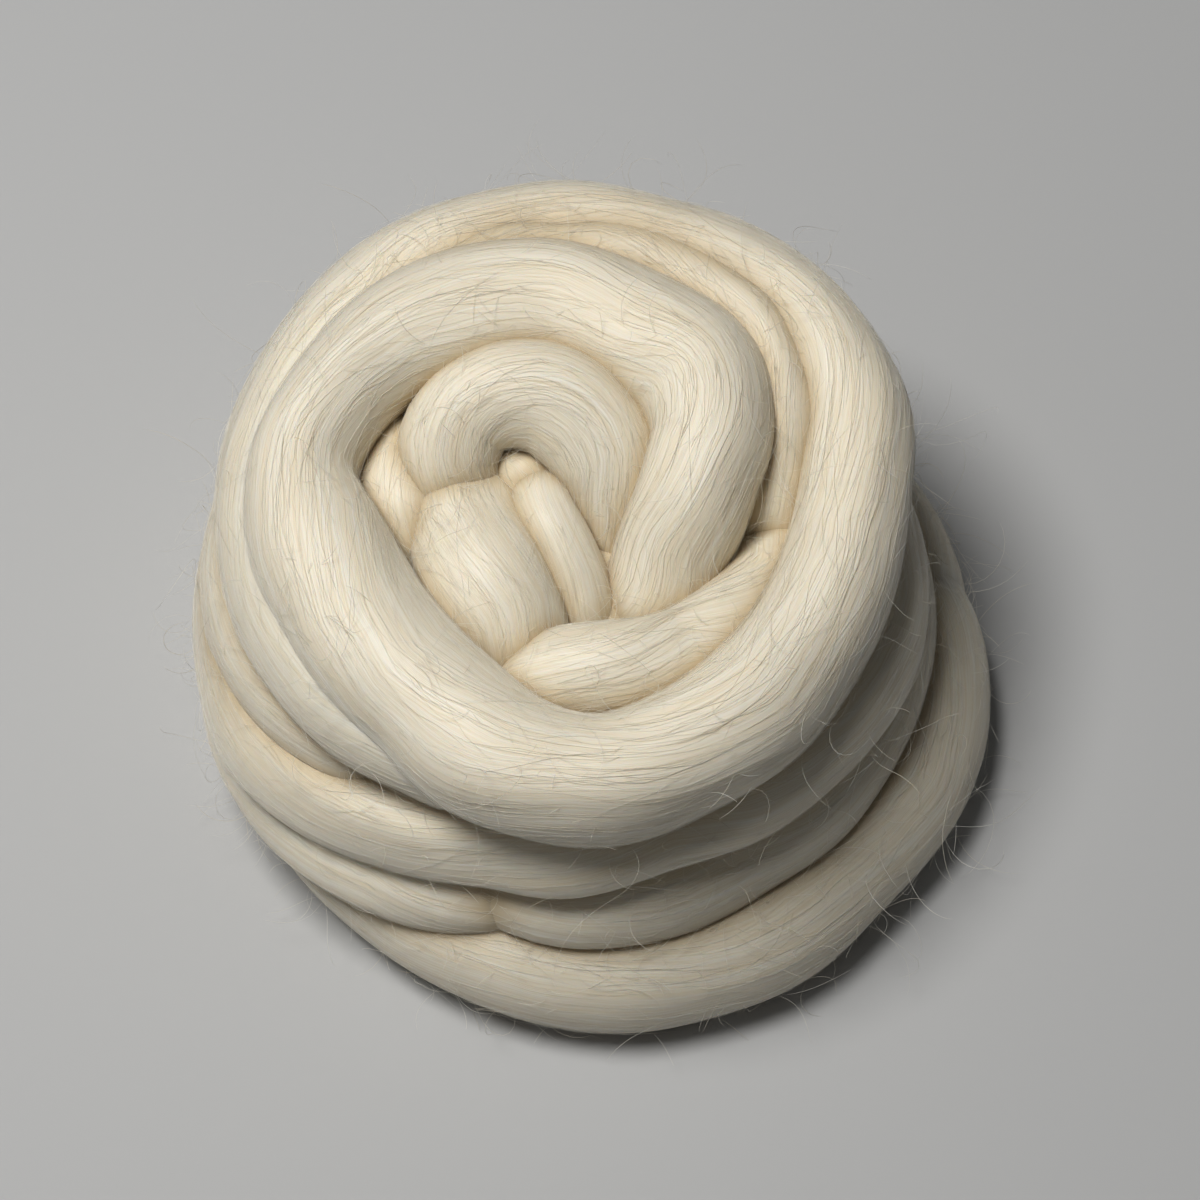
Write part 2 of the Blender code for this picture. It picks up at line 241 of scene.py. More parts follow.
BASE_TURN = [
    Turn(-24, 50, 18, 15, 17, 0),
    Turn(-8, 57, 15, 20, 22, 0),
    Turn(8, 63, 13, 25, 26, 0),
    Turn(24, 64, 13, 27, 27, 0),
    Turn(45, 63, 13, 27, 27, 0),
    Turn(90, 63, 13, 27, 27, 0),
    Turn(135, 64, 13, 27, 27, 0),
    Turn(178, 64, 13, 28, 27, 0),
    Turn(200, 60, 13, 28, 27, 0),
    Turn(218, 59, 13, 28, 27, 0),
    Turn(241, 59, 13, 28, 27, 0),
    Turn(264, 61, 13, 28, 27, 0),
    Turn(285, 63, 13, 28, 27, 0),
    Turn(302, 64, 13, 28, 27, 0),
    Turn(319, 63, 13, 28, 27, 0),
    Turn(338, 65, 13, 28, 27, 0),
    Turn(352, 66, 13, 27, 27, 0),
    Turn(366, 65, 13, 26, 26, 0),
    Turn(382, 60, 15, 20, 22, 0),
    Turn(398, 52, 18, 14, 16, 0),
]

SECOND_STRAND = [
    Turn(5, 31, 46, 14, 14, 0),
    Turn(11, 33, 55, 17, 17, 0),
    Turn(18, 36, 62, 18, 19, 0),
    Turn(27, 40, 67, 18, 20, 0),
    Turn(34, 43, 70, 18, 21, 0),
    Turn(43, 48, 71, 18, 22, 0),
    Turn(51, 51, 72, 19, 22, 0),
    Turn(63, 53, 73, 19, 22, 0),
    Turn(76, 56, 73, 19, 22, 0),
    Turn(89, 58, 73, 19, 22, 0),
    Turn(103, 60, 72, 19, 22, 0),
    Turn(117, 61, 70, 19, 22, 0),
    Turn(131, 60, 67, 18, 22, 0),
    Turn(143, 58, 62, 15, 18, 0),
]

CURL = [
    Fold(7, -12, 42, 10, 9, 0),
    Fold(5, -5, 50, 13, 12, 0),
    Fold(5, 3, 59, 16, 14, 0),
    Fold(5, 9, 66, 19, 16, 0),
    Fold(3, 16, 72, 21, 17, 0),
    Fold(-2, 22, 75, 22, 18, 0),
    Fold(-10, 26, 77, 21, 18, 0),
    Fold(-18, 26, 77, 20, 18, 0),
    Fold(-24, 23, 75, 19, 17, 0),
    Fold(-27, 18, 71, 19, 16, 0),
    Fold(-26, 13, 65, 18, 15, 0),
    Fold(-22, 10, 56, 14, 12, 0),
]

MIDDLE_FOLD = [
    Fold(-14, 22, 56, 9, 11, 0),
    Fold(-11, 12, 64, 11, 13, 0),
    Fold(-9, 4, 69, 12, 14, 0),
    Fold(-6, -2, 68, 12, 13, 0),
    Fold(-3, -8, 64, 12, 12, 0),
    Fold(-1, -13, 58, 11, 11, 0),
    Fold(1, -18, 46, 8, 9, 0),
]

NUB = [
    Fold(-20, 22, 56, 10, 9, 0),
    Fold(-17, 18, 64, 12, 11, 0),
    Fold(-13, 14, 67, 12, 11, 0),
    Fold(-10, 10, 64, 11, 10, 0),
    Fold(-8, 8, 55, 9, 8, 0),
]

LEFT_FOLD = [
    Fold(-34, 36, 54, 15, 14, 0),
    Fold(-36, 27, 61, 18, 15, 0),
    Fold(-36, 17, 64, 20, 16, 0),
    Fold(-36, 9, 63, 20, 16, 0),
    Fold(-34, 2, 58, 18, 15, 0),
    Fold(-31, -4, 48, 14, 12, 0),
]

LEFT_LOBE = [
    Fold(-28, 22, 58, 17, 14, 0),
    Fold(-26, 13, 63, 21, 17, 0),
    Fold(-23, 3, 65, 23, 19, 0),
    Fold(-20, -7, 67, 24, 20, 0),
    Fold(-16, -15, 65, 21, 18, 0),
    Fold(-13, -20, 59, 17, 16, 0),
    Fold(-11, -23, 49, 13, 12, 0),
]

LEFT_BED = [
    Fold(-38, 18, 46, 20, 12, 0),
    Fold(-24, 14, 55, 26, 14, 0),
    Fold(-8, 4, 57, 26, 15, 0),
    Fold(4, -9, 57, 24, 15, 0),
    Fold(16, -20, 50, 20, 12, 0),
]

RIGHT_BED = [
    Fold(36, 22, 48, 18, 14, 0),
    Fold(34, 10, 55, 22, 15, 0),
    Fold(30, -2, 56, 24, 15, 0),
    Fold(22, -14, 53, 22, 14, 0),
    Fold(10, -24, 46, 18, 12, 0),
]

LOWER_FOLD = [
    Fold(-15, -28, 48, 12, 12, 0),
    Fold(-12, -28, 59, 16, 15, 0),
    Fold(-6, -28, 66, 18, 17, 0),
    Fold(1, -28, 68, 18, 18, 0),
    Fold(9, -27, 68, 18, 18, 0),
    Fold(17, -24, 67, 18, 17, 0),
    Fold(25, -18, 66, 18, 17, 0),
    Fold(31, -10, 64, 17, 16, 0),
    Fold(35, -1, 60, 16, 15, 0),
    Fold(37, 9, 52, 14, 12, 0),
]

FURROWS = (
    Octave(3, 27.0, 1.7),
    Octave(4, 80.0, 1.8),
    Octave(9, 50.0, 0.8),
    Octave(19, 38.0, 0.26),
)
WAVES = (
    Octave(3, 24.0, 2.0),
    Octave(7, 11.0, 0.5),
)


def smooth_rows(table: np.ndarray, step: float) -> np.ndarray:
    """Read a smooth curve through a table of sections at an even spacing.

    Args:
        table: One row for each section, its first three columns a place.
        step: Spacing to read at, in millimetres.

    Returns:
        The rows read off.
    """
    gaps = np.linalg.norm(np.diff(table[:, :3], axis=0), axis=1)
    knots = np.concatenate([[0.0], np.cumsum(gaps)])
    slopes = np.gradient(table, knots, axis=0)
    places = np.linspace(0.0, knots[-1], max(8, int(knots[-1] / step)))
    row = np.clip(np.searchsorted(knots, places, "right") - 1, 0, len(gaps) - 1)
    span = gaps[row][:, None]
    t = ((places - knots[row]) / gaps[row])[:, None]
    pull_out, pull_in = slopes[row] * span, slopes[row + 1] * span
    return ((2 * t**3 - 3 * t**2 + 1) * table[row] + (t**3 - 2 * t**2 + t) * pull_out
            + (3 * t**2 - 2 * t**3) * table[row + 1] + (t**3 - t**2) * pull_in)


def unit(vectors: np.ndarray) -> np.ndarray:
    """Vectors of length one, along the last axis."""
    return vectors / np.maximum(np.linalg.norm(vectors, axis=-1, keepdims=True), 1e-12)


def ease(t: np.ndarray) -> np.ndarray:
    """Smooth step from 0 to 1."""
    return t * t * (3.0 - 2.0 * t)


def lattice(grid: np.ndarray, along: np.ndarray, around: np.ndarray) -> np.ndarray:
    """Read smooth noise off a grid of random values that repeats both ways.

    Args:
        grid: The random values, from -1 to 1.
        along: Places along its first axis, in cells.
        around: Places along its second axis, in cells.

    Returns:
        The noise at each place.
    """
    i, j = np.floor(along).astype(int), np.floor(around).astype(int)
    f, g = ease(along - i), ease(around - j)
    i0, i1 = i % grid.shape[0], (i + 1) % grid.shape[0]
    j0, j1 = j % grid.shape[1], (j + 1) % grid.shape[1]
    return ((grid[i0, j0] * (1 - g) + grid[i0, j1] * g) * (1 - f)
            + (grid[i1, j0] * (1 - g) + grid[i1, j1] * g) * f)


def triangle_mesh(name: str, points: np.ndarray, faces: np.ndarray) -> bpy.types.Object:
    """Make a mesh object from arrays and link it to the scene.

    Args:
        name: The object's name.
        points: Corner places in millimetres, one row each.
        faces: Corner numbers, one row of three or four for each face.

    Returns:
        The new object, smooth shaded.
    """
    data = bpy.data.meshes.new(name)
    data.vertices.add(len(points))
    data.vertices.foreach_set("co", (points * MM).astype(np.float32).ravel())
    data.loops.add(faces.size)
    data.loops.foreach_set("vertex_index", faces.astype(np.int32).ravel())
    data.polygons.add(len(faces))
    data.polygons.foreach_set("loop_start", np.arange(0, faces.size, faces.shape[1], dtype=np.int32))
    data.update(calc_edges=True)
    data.shade_smooth()
    piece = bpy.data.objects.new(name, data)
    bpy.context.scene.collection.objects.link(piece)
    return piece


def store_value(piece: bpy.types.Object, name: Attribute, values: np.ndarray) -> None:
    """Store one number for each corner point of a piece."""
    layer = piece.data.attributes.new(name.value, "FLOAT", "POINT")
    layer.data.foreach_set("value", values.astype(np.float32).ravel())


def store_map(piece: bpy.types.Object, per_loop: np.ndarray) -> None:
    """Store the strand's own UV map, one row of two for each loop."""
    layer = piece.data.uv_layers.new(name=Attribute.STRAND_MAP.value)
    layer.data.foreach_set("uv", per_loop.astype(np.float32).ravel())


@dataclass
class Furrows:
    """How the locks of combed wool lie: shallow furrows that wave sideways."""

    seed: int
    scale: float = 1.0
    octaves: tuple[Octave, ...] = FURROWS
    waves: tuple[Octave, ...] = WAVES
    grids: list[np.ndarray] = field(default_factory=list)
    sways: list[np.ndarray] = field(default_factory=list)

    def __post_init__(self) -> None:
        """Draw the random values of every octave."""
        rng = np.random.default_rng(self.seed)
        self.grids = [rng.uniform(-1, 1, (NOISE_ROWS, octave.locks)) for octave in self.octaves]
        self.sways = [rng.uniform(-1, 1, (NOISE_ROWS, octave.locks)) for octave in self.waves]

    def height(self, run: np.ndarray, angle: np.ndarray) -> np.ndarray:
        """Height of the wool above its plain section, in millimetres.

        Args:
            run: Distances along the strand.
            angle: Angles round the strand, in radians, following the fibres.

        Returns:
            The heights.
        """
        total = 0.0
        for octave, grid in zip(self.octaves, self.grids):
            value = lattice(grid, run / octave.run + NOISE_START,
                            angle / (2 * math.pi) * octave.locks)
            total = total + octave.depth * (np.sqrt(value**2 + CREASE_ROUND) - CREASE_LEVEL)
        return total * self.scale

    def sway(self, run: np.ndarray, turn: np.ndarray) -> np.ndarray:
        """How far the fibres wave sideways at a place, in millimetres.

        Args:
            run: Distances along the strand.
            turn: Angles round the strand, in radians.

        Returns:
            The sideways shifts.
        """
        total = 0.0
        for octave, grid in zip(self.waves, self.sways):
            total = total + octave.depth * lattice(grid, run / octave.run + NOISE_START,
                                                   turn / (2 * math.pi) * octave.locks)
        return total


@dataclass
class Strand:
    """One stretch of the roving: a soft swept body with furrows along it."""

    name: str
    table: list
    twist: float = 20.0
    seed: int = 1
    fibres: int = 1000
    step: float = 1.5
    sides: int = 64
    taper: float = 12.0
    furrow_scale: float = 1.0
    furrows: Furrows = field(init=False)

    def __post_init__(self) -> None:
        """Work out the strand's middle line and the frames along it."""
        rows = np.array(self.table, float)
        if isinstance(self.table[0], Turn):
            angle = np.radians(rows[:, 0])
            rows[:, 0], rows[:, 1] = rows[:, 1] * np.cos(angle), rows[:, 1] * np.sin(angle)
        rows = smooth_rows(rows, GRID_STEP)
        self.middle = rows[:, :3] + np.array([*AXIS_PLACE, -REST_DEPTH])
        gaps = np.linalg.norm(np.diff(self.middle, axis=0), axis=1)
        self.run = np.concatenate([[0.0], np.cumsum(gaps)])
        self.length = float(self.run[-1])
        ahead = unit(np.gradient(self.middle, axis=0))
        side = np.cross(ahead, [0.0, 0.0, 1.0])
        flat = np.linalg.norm(side, axis=1) > LEVEL_ENOUGH
        order = np.arange(len(side))
        for k in range(3):
            side[:, k] = np.interp(order, order[flat], unit(side)[flat, k])
        side = unit(side - ahead * np.sum(side * ahead, axis=1, keepdims=True))
        upper = np.cross(side, ahead)
        tip = np.radians(rows[:, 5:6])
        self.across = side * np.cos(tip) - upper * np.sin(tip)
        self.over = side * np.sin(tip) + upper * np.cos(tip)
        self.half_width = rows[:, 3] / 2
        self.half_thick = rows[:, 4] / 2
        self.girth = float(np.mean(self.half_width + self.half_thick)) / 2
        self.furrows = Furrows(self.seed, self.furrow_scale)
        wobble = np.random.default_rng(self.seed + 500).normal(0, 0.25, int(self.length / 40) + 3)
        self.drift = (np.radians(self.twist) * self.run / 100
                      + np.interp(self.run, np.linspace(0, self.length, len(wobble)), wobble))

    def fibre_at(self, run: np.ndarray, turn: np.ndarray) -> np.ndarray:
        """Angle that names the fibre passing each place, in radians."""
        return turn + np.interp(run, self.run, self.drift) + self.furrows.sway(run, turn) / self.girth

    def turn_of(self, run: np.ndarray, angle: np.ndarray) -> np.ndarray:
        """Turn round the strand at which a named fibre lies, in radians."""
        turn = angle - np.interp(run, self.run, self.drift)
        return turn - self.furrows.sway(run, turn) / self.girth

    def surface(self, run: np.ndarray, turn: np.ndarray, lift: np.ndarray | float = 0.0) -> np.ndarray:
        """Places on or above the strand's skin.

        Args:
            run: Distances along the strand, in millimetres.
            turn: Angles round it, in radians.
            lift: Heights above the skin, in millimetres.

        Returns:
            One row of three for each place.
        """
        run = np.clip(run, 0.0, self.length)

        def read(column: np.ndarray) -> np.ndarray:
            """One stored column at each place along the strand."""
            return np.interp(run, self.run, column)

        near_end = np.clip(np.minimum(run, self.length - run) / self.taper, 0.0, 1.0)
        shrink = np.sqrt(1.0 - (1.0 - near_end) ** 2)
        rise = self.furrows.height(run, self.fibre_at(run, turn)) * shrink + lift
        reach_x = (read(self.half_width) * shrink + rise) * np.cos(turn)
        reach_y = (read(self.half_thick) * shrink + rise) * np.sin(turn)
        place = np.stack([read(self.middle[:, k]) + read(self.across[:, k]) * reach_x
                          + read(self.over[:, k]) * reach_y for k in range(3)], axis=-1)
        place[..., 2] = np.maximum(place[..., 2], FLOOR_GAP + np.maximum(lift, 0.0) * 0.2)
        return place

    def build(self) -> bpy.types.Object:
        """Sweep the strand's skin and store its UV map.

        Returns:
            The strand's mesh object, closed at both ends.
        """
        count = int(self.length / self.step)
        t = np.linspace(0, 1, count)
        run = END_INSET + (self.length - 2 * END_INSET) * t
        turn = SEAM + np.arange(self.sides) * 2 * math.pi / self.sides
        skin = self.surface(run[:, None] + 0 * turn, turn[None, :] + 0 * run[:, None])
        tips = self.surface(np.array([0.0, self.length]), np.zeros(2))
        points = np.concatenate([skin.reshape(-1, 3), tips])
        i, j = np.meshgrid(np.arange(count - 1), np.arange(self.sides), indexing="ij")
        k = (j + 1) % self.sides
        a, b = i * self.sides + j, i * self.sides + k
        c, d = (i + 1) * self.sides + k, (i + 1) * self.sides + j
        first = np.stack([a, c, b], -1).reshape(-1, 3)
        second = np.stack([a, d, c], -1).reshape(-1, 3)
        ring = np.arange(self.sides)
        after = (ring + 1) % self.sides
        start, end = count * self.sides, count * self.sides + 1
        head = np.stack([ring, after, np.full_like(ring, start)], -1)
        last = (count - 1) * self.sides
        tail = np.stack([last + after, last + ring, np.full_like(ring, end)], -1)
        faces = np.concatenate([first, second, head, tail])
        piece = triangle_mesh(self.name, points, faces)
        wide = np.where(faces < start, faces % self.sides, 0).astype(float)
        wrapped = (wide.max(axis=1, keepdims=True) == self.sides - 1) & (wide == 0)
        wide = np.where(wrapped, self.sides, wide)
        at = np.minimum(faces // self.sides, count - 1)
        u = run[at] / UV_UNIT
        v = self.fibre_at(run[at], SEAM + wide * 2 * math.pi / self.sides) * self.girth / UV_UNIT
        store_map(piece, np.stack([u, v], -1).reshape(-1, 2))
        return piece


def neighbours_tree(pieces: list[bpy.types.Object], but: bpy.types.Object | None) -> BVHTree:
    """One search tree over all the pieces but one."""
    corners: list = []
    faces: list = []
    for piece in pieces:
        if piece is but:
            continue
        offset = len(corners)
        corners.extend(tuple(vert.co) for vert in piece.data.vertices)
        faces.extend(tuple(offset + n for n in poly.vertices) for poly in piece.data.polygons)
    return BVHTree.FromPolygons(corners, faces, all_triangles=True)


def outside_distance(tree: BVHTree, place: np.ndarray) -> float:
    """Distance from a place to the skins in a tree, negative inside them, in millimetres."""
    spot = Vector(place)
    near, normal, _, distance = tree.find_nearest(spot)
    if near is None:
        return FAR
    sign = 1.0 if (spot - near).dot(normal) >= 0 else -1.0
    return sign * distance / MM


def hair_tubes(name: str, paths: np.ndarray, radius: np.ndarray, shade: np.ndarray) -> bpy.types.Object:
    """Join many thin hairs into one mesh of closed three-sided tubes.

    Args:
        name: The piece's name.
        paths: Places along the hairs in millimetres, shaped hairs, points, 3.
        radius: Each hair's radius in millimetres.
        shade: A number from 0 to 1 for each hair, for its colour.

    Returns:
        The mesh object.
    """
    hairs, count = paths.shape[:2]
    ahead = unit(np.gradient(paths, axis=1))
    out = unit(np.cross(ahead, np.array(HAIR_GUIDE)))
    up = np.cross(ahead, out)
    rings = count - 2
    taper = 0.55 + 0.45 * np.sin(np.linspace(0.15, math.pi - 0.15, rings))
    corners = np.empty((hairs, rings, HAIR_SIDES, 3))
    for k in range(HAIR_SIDES):
        a = 2 * math.pi * k / HAIR_SIDES
        thick = radius[:, None, None] * taper[None, :, None]
        corners[:, :, k] = paths[:, 1:-1] + thick * (out[:, 1:-1] * math.cos(a) + up[:, 1:-1] * math.sin(a))
    per_hair = rings * HAIR_SIDES + 2
    points = np.concatenate([corners.reshape(hairs, -1, 3), paths[:, :1], paths[:, -1:]], axis=1)
    points[..., 2] = np.maximum(points[..., 2], FLOOR_GAP)
    faces = []
    for i in range(rings - 1):
        for k in range(HAIR_SIDES):
            a, b = i * HAIR_SIDES + k, i * HAIR_SIDES + (k + 1) % HAIR_SIDES
            c, d = b + HAIR_SIDES, a + HAIR_SIDES
            faces += [(a, b, c), (a, c, d)]
    last, root, point = (rings - 1) * HAIR_SIDES, rings * HAIR_SIDES, rings * HAIR_SIDES + 1
    for k in range(HAIR_SIDES):
        m = (k + 1) % HAIR_SIDES
        faces.append((m, k, root))
        faces.append((last + k, last + m, point))
    all_faces = np.array(faces)[None] + (np.arange(hairs) * per_hair)[:, None, None]
    piece = triangle_mesh(name, points.reshape(-1, 3), all_faces.reshape(-1, 3))
    store_value(piece, Attribute.SHADE, np.repeat(shade, per_hair))
    return piece


@dataclass(frozen=True)
class WoolFinish:
    """Undyed combed wool: satin streaks along the fibres, with painted warm shade in the folds."""

    light: tuple[float, float, float] = (0.90, 0.875, 0.79)
    dark: tuple[float, float, float] = (0.78, 0.72, 0.595)
    # painted shade: a warm darker tone mixed into the creases between stretches, where shade falls
    fold: tuple[float, float, float] = (0.65, 0.54, 0.37)
    roughness: float = 0.52
    specular: float = 0.5
    sheen: float = 0.45
    sheen_roughness: float = 0.45
    sheen_tint: tuple[float, float, float] = (1.0, 0.96, 0.88)
    anisotropy: float = 0.55
    glow: float = 0.25                                      # light that passes under the skin
    glow_radius: tuple[float, float, float] = (1.0, 0.72, 0.42)
    glow_scale: float = 0.004
    streaks: tuple[tuple[float, float, float], ...] = (     # scale along, across, and detail
        (5.0, 900.0, 3.0),
        (3.0, 300.0, 2.0),
        (1.5, 60.0, 2.0),
    )
    crimp_scale: float = 7.0
    crimp_sway: float = 0.022
    fine_share: float = 0.55
    tone_span: tuple[float, float] = (0.36, 0.62)
    patch: tuple[float, float, float] = (0.93, 0.84, 0.68)  # warmer patches along the length
    patch_span: tuple[float, float] = (0.35, 0.65)
    patch_share: float = 0.35
    bump_strength: float = 0.5
    bump_depth: float = 0.0001
    hair_dark: tuple[float, float, float] = (0.42, 0.34, 0.24)
    hair_common: tuple[float, float, float] = (0.80, 0.74, 0.61)
    hair_light: tuple[float, float, float] = (0.92, 0.895, 0.82)
    hair_span: tuple[float, float, float] = (0.003, 0.006, 0.6)

    def skin(self) -> bpy.types.Material:
        """Finish of the strands, streaked along their own UV map.

        Returns:
            The material.
        """
        material = bpy.data.materials.new("combed_wool")
        material.use_nodes = True
        nodes, links = material.node_tree.nodes, material.node_tree.links
        shader = nodes["Principled BSDF"]
        place = nodes.new("ShaderNodeUVMap")
        place.uv_map = Attribute.STRAND_MAP.value
        crimp = nodes.new("ShaderNodeTexNoise")
        crimp.inputs["Scale"].default_value = self.crimp_scale
        crimp.inputs["Detail"].default_value = 2.0
        links.new(place.outputs["UV"], crimp.inputs["Vector"])
        sway = nodes.new("ShaderNodeVectorMath")
        sway.operation = "MULTIPLY_ADD"
        sway.inputs[1].default_value = (0.0, self.crimp_sway, 0.0)
        links.new(crimp.outputs["Color"], sway.inputs[0])
        links.new(place.outputs["UV"], sway.inputs[2])
        streaks = []
        for along, across, detail in self.streaks:
            mapping = nodes.new("ShaderNodeMapping")
            mapping.inputs["Scale"].default_value = (along, across, 1.0)
            links.new(sway.outputs[0], mapping.inputs["Vector"])
            noise = nodes.new("ShaderNodeTexNoise")
            noise.inputs["Scale"].default_value = 1.0
            noise.inputs["Detail"].default_value = detail
            links.new(mapping.outputs["Vector"], noise.inputs["Vector"])
            streaks.append(noise)
        fine, middle, broad = streaks
        blend = nodes.new("ShaderNodeMath")
        blend.operation = "MULTIPLY_ADD"
        blend.inputs[1].default_value = self.fine_share
        links.new(fine.outputs["Fac"], blend.inputs[0])
        half = nodes.new("ShaderNodeMath")
        half.operation = "MULTIPLY"
        half.inputs[1].default_value = 1.0 - self.fine_share
        links.new(middle.outputs["Fac"], half.inputs[0])
        links.new(half.outputs[0], blend.inputs[2])
        tone = nodes.new("ShaderNodeValToRGB")
        tone.color_ramp.elements[0].position = self.tone_span[0]
        tone.color_ramp.elements[0].color = (*self.dark, 1.0)
        tone.color_ramp.elements[1].position = self.tone_span[1]
        tone.color_ramp.elements[1].color = (*self.light, 1.0)
        links.new(blend.outputs[0], tone.inputs["Fac"])
        patch = nodes.new("ShaderNodeMix")
        patch.data_type = "RGBA"
        patch.blend_type = "MULTIPLY"
        patch.inputs["Factor"].default_value = self.patch_share
        patch_tone = nodes.new("ShaderNodeValToRGB")
        patch_tone.color_ramp.elements[0].position = self.patch_span[0]
        patch_tone.color_ramp.elements[0].color = (*self.patch, 1.0)
        patch_tone.color_ramp.elements[1].position = self.patch_span[1]
        patch_tone.color_ramp.elements[1].color = (1.0, 1.0, 1.0, 1.0)
        links.new(broad.outputs["Fac"], patch_tone.inputs["Fac"])
        links.new(tone.outputs["Color"], patch.inputs["A"])
        links.new(patch_tone.outputs["Color"], patch.inputs["B"])
        # painted shade: the fold value darkens and warms the colour where stretches meet
        depth = nodes.new("ShaderNodeAttribute")
        depth.attribute_name = Attribute.PAINTED_FOLD_SHADE.value
        fold_shade_mix = nodes.new("ShaderNodeMix")
        fold_shade_mix.data_type = "RGBA"
        fold_shade_mix.inputs["B"].default_value = (*self.fold, 1.0)
        links.new(depth.outputs["Fac"], fold_shade_mix.inputs["Factor"])
        links.new(patch.outputs["Result"], fold_shade_mix.inputs["A"])
        links.new(fold_shade_mix.outputs["Result"], shader.inputs["Base Color"])
        coarse = nodes.new("ShaderNodeBump")
        coarse.inputs["Strength"].default_value = self.bump_strength
        coarse.inputs["Distance"].default_value = self.bump_depth
        links.new(middle.outputs["Fac"], coarse.inputs["Height"])
        bump = nodes.new("ShaderNodeBump")
        bump.inputs["Strength"].default_value = self.bump_strength
        bump.inputs["Distance"].default_value = self.bump_depth
        links.new(fine.outputs["Fac"], bump.inputs["Height"])
        links.new(coarse.outputs["Normal"], bump.inputs["Normal"])
        links.new(bump.outputs["Normal"], shader.inputs["Normal"])
        grain = nodes.new("ShaderNodeTangent")
        grain.direction_type = "UV_MAP"
        grain.uv_map = Attribute.STRAND_MAP.value
        links.new(grain.outputs["Tangent"], shader.inputs["Tangent"])
        self.gloss(shader)
        return material

    def hairs(self) -> bpy.types.Material:
        """Finish of single hairs, each a little lighter or darker.

        Returns:
            The material.
        """
        material = bpy.data.materials.new("wool_hair")
        material.use_nodes = True
        nodes, links = material.node_tree.nodes, material.node_tree.links
        shader = nodes["Principled BSDF"]
        each = nodes.new("ShaderNodeAttribute")
        each.attribute_name = Attribute.SHADE.value
        tone = nodes.new("ShaderNodeValToRGB")
        tone.color_ramp.elements[0].position = self.hair_span[0]
        tone.color_ramp.elements[0].color = (*self.hair_dark, 1.0)
        tone.color_ramp.elements[1].position = self.hair_span[2]
        tone.color_ramp.elements[1].color = (*self.hair_light, 1.0)
        common = tone.color_ramp.elements.new(self.hair_span[1])
        common.color = (*self.hair_common, 1.0)
        links.new(each.outputs["Fac"], tone.inputs["Fac"])
        links.new(tone.outputs["Color"], shader.inputs["Base Color"])
        self.gloss(shader)
        return material

    def gloss(self, shader: bpy.types.ShaderNode) -> None:
        """Set the satin gloss and the soft sheen of wool on a shader."""
        shader.inputs["Roughness"].default_value = self.roughness
        shader.inputs["Subsurface Weight"].default_value = self.glow
        shader.inputs["Subsurface Radius"].default_value = self.glow_radius
        shader.inputs["Subsurface Scale"].default_value = self.glow_scale
        shader.inputs["Specular IOR Level"].default_value = self.specular
        shader.inputs["Anisotropic"].default_value = self.anisotropy
        shader.inputs["Anisotropic Rotation"].default_value = 0.25
        shader.inputs["Sheen Weight"].default_value = self.sheen
        shader.inputs["Sheen Roughness"].default_value = self.sheen_roughness
        shader.inputs["Sheen Tint"].default_value = (*self.sheen_tint, 1.0)


@dataclass
class Winding:
    """All the stretches of the roving, from the hollow to the surface."""

    finish: WoolFinish
    strands: list[Strand] = field(default_factory=list)
    pieces: list[bpy.types.Object] = field(default_factory=list)
    trees: list[BVHTree] = field(default_factory=list)

    def __post_init__(self) -> None:
        """List the stretches with their twist, seed and share of fibres."""
        self.strands = [
            Strand("top_turn", TOP_TURN, 24, 11, 4400),
            Strand("second_strand", SECOND_STRAND, 20, 12, 900),
            Strand("side_turn", SIDE_TURN, 16, 13, 700),
            Strand("second_turn", SECOND_TURN, 14, 14, 2400),
            Strand("third_turn", THIRD_TURN, 14, 16, 1300),
            Strand("base_turn", BASE_TURN, 14, 17, 2100),
            Strand("curl", CURL, 60, 18, 1000, step=1.0, taper=8.0),
            Strand("middle_fold", MIDDLE_FOLD, 60, 19, 280, step=0.9, sides=48, taper=8.0, furrow_scale=0.7),
            Strand("nub", NUB, 60, 23, 110, step=0.8, sides=40, taper=7.0, furrow_scale=0.6),
            Strand("left_fold", LEFT_FOLD, 40, 20, 350, step=0.9, sides=48, taper=8.0, furrow_scale=0.7),
            Strand("left_lobe", LEFT_LOBE, 60, 21, 700, step=0.9, taper=10.0),
            Strand("lower_fold", LOWER_FOLD, 40, 22, 750, step=1.0, taper=9.0),
            Strand("left_bed", LEFT_BED, 30, 24, 100, sides=48, taper=10.0),
            Strand("right_bed", RIGHT_BED, 30, 25, 100, sides=48, taper=10.0),
        ]

    def build(self) -> None:
        """Sweep every stretch and give it its finish."""
        skin = self.finish.skin()
        for strand in self.strands:
            piece = strand.build()
            piece.data.materials.append(skin)
            self.pieces.append(piece)
            log.info("%s: %d triangles", piece.name, len(piece.data.polygons))

    def paint_fold_shade(self, middle: bpy.types.Object) -> None:
        """Store how deep each point lies in a fold between two stretches, the mask of the painted warm shade
        there.
        """
        self.trees = [neighbours_tree(self.pieces + [middle], piece) for piece in self.pieces]
        for piece, tree in zip(self.pieces, self.trees):
            count = len(piece.data.vertices)
            places = np.empty(count * 3, np.float32)
            piece.data.vertices.foreach_get("co", places)
            gap = np.array([outside_distance(tree, place) for place in places.reshape(-1, 3)])
            # the closer a neighbour, the more warm shade is painted here
            depth = np.clip(1.0 - np.maximum(gap, 0.0) / FOLD_SHADE_REACH, 0.0, 1.0) ** 2
            store_value(piece, Attribute.PAINTED_FOLD_SHADE, depth)


